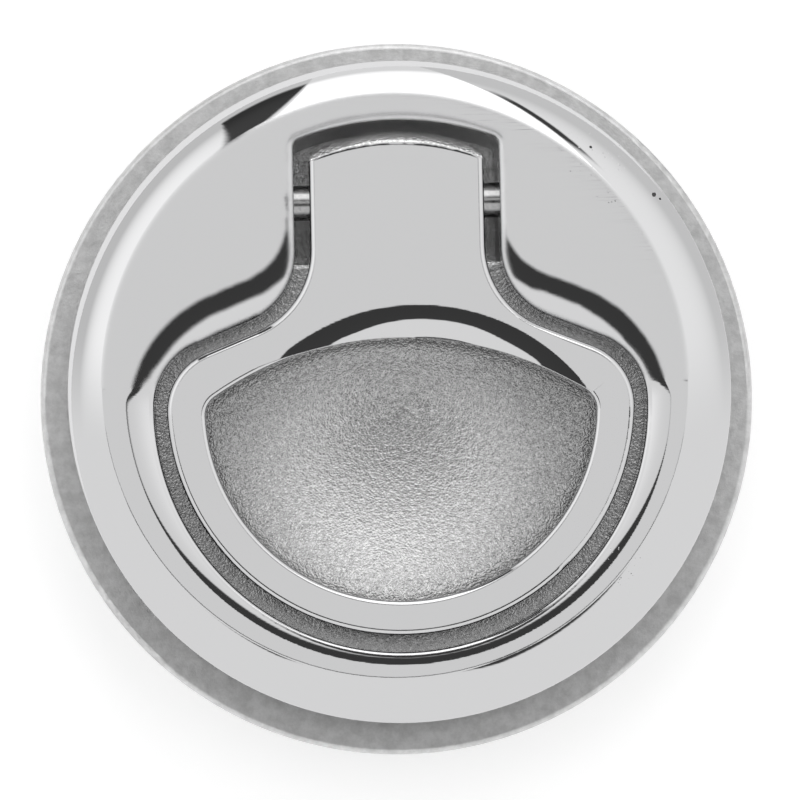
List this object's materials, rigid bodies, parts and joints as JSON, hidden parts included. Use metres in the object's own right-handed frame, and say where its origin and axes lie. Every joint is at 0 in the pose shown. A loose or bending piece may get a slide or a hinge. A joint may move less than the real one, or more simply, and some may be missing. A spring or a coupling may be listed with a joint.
{
  "type": "hatch latch",
  "caption": "Round flush pull hatch latch: mirror-polished bezel, D-shaped pull on a pivot over a finger dish, sprung bolt and a clamp ring nut.",
  "frame": {"origin": "on the barrel's axis, in the plane of the panel's outer face (the gasket's underside)", "axes": "+Z out of the panel along the barrel's axis, +Y from the pull towards the pivot and the bolt's tip, +X to the right seen from outside"},
  "size_m": [0.07, 0.07, 0.0269],
  "materials": {
    "polished_steel": "mirror polished cast stainless steel, finger dish left grainy",
    "tumbled_steel": "tumbled matte stainless steel",
    "cast_steel": "tumbled cast stainless steel",
    "rear_steel": "plain rolled stainless steel",
    "screw_steel": "bright turned stainless steel",
    "spring_steel": "drawn spring wire",
    "gasket_rubber": "black sheet rubber"
  },
  "bodies": {
    "housing": {"housing": "polished_steel", "pivot_pin": "polished_steel", "handle_spring": "spring_steel", "bolt_spring": "spring_steel", "rear_plate": "rear_steel", "rear_plate_screws": "screw_steel", "ring_nut": "tumbled_steel", "bezel_gasket": "gasket_rubber"},
    "pull": {"pull_handle": "polished_steel"},
    "bolt": {"latch_bolt": "cast_steel"}
  },
  "joints": [
    {"name": "pull_hinge", "type": "hinge", "parent": "housing", "child": "pull", "pos_m": [0, 0.0184, -0.0014], "axis": [-1, 0, 0], "range_deg": [0, 30], "stiffness_Nm_per_rad": 0.08, "springref_deg": -28.65, "deforming": ["handle_spring"]},
    {"name": "bolt_slide", "type": "slide", "parent": "housing", "child": "bolt", "axis": [0, -1, 0], "range_m": [0, 0.0081], "stiffness_N_per_m": 30, "springref_m": -0.01, "deforming": ["bolt_spring"]}
  ],
  "couplings": [
    {"joint": "bolt_slide", "follows": "pull_hinge", "m_per_rad": 0.01546}
  ]
}
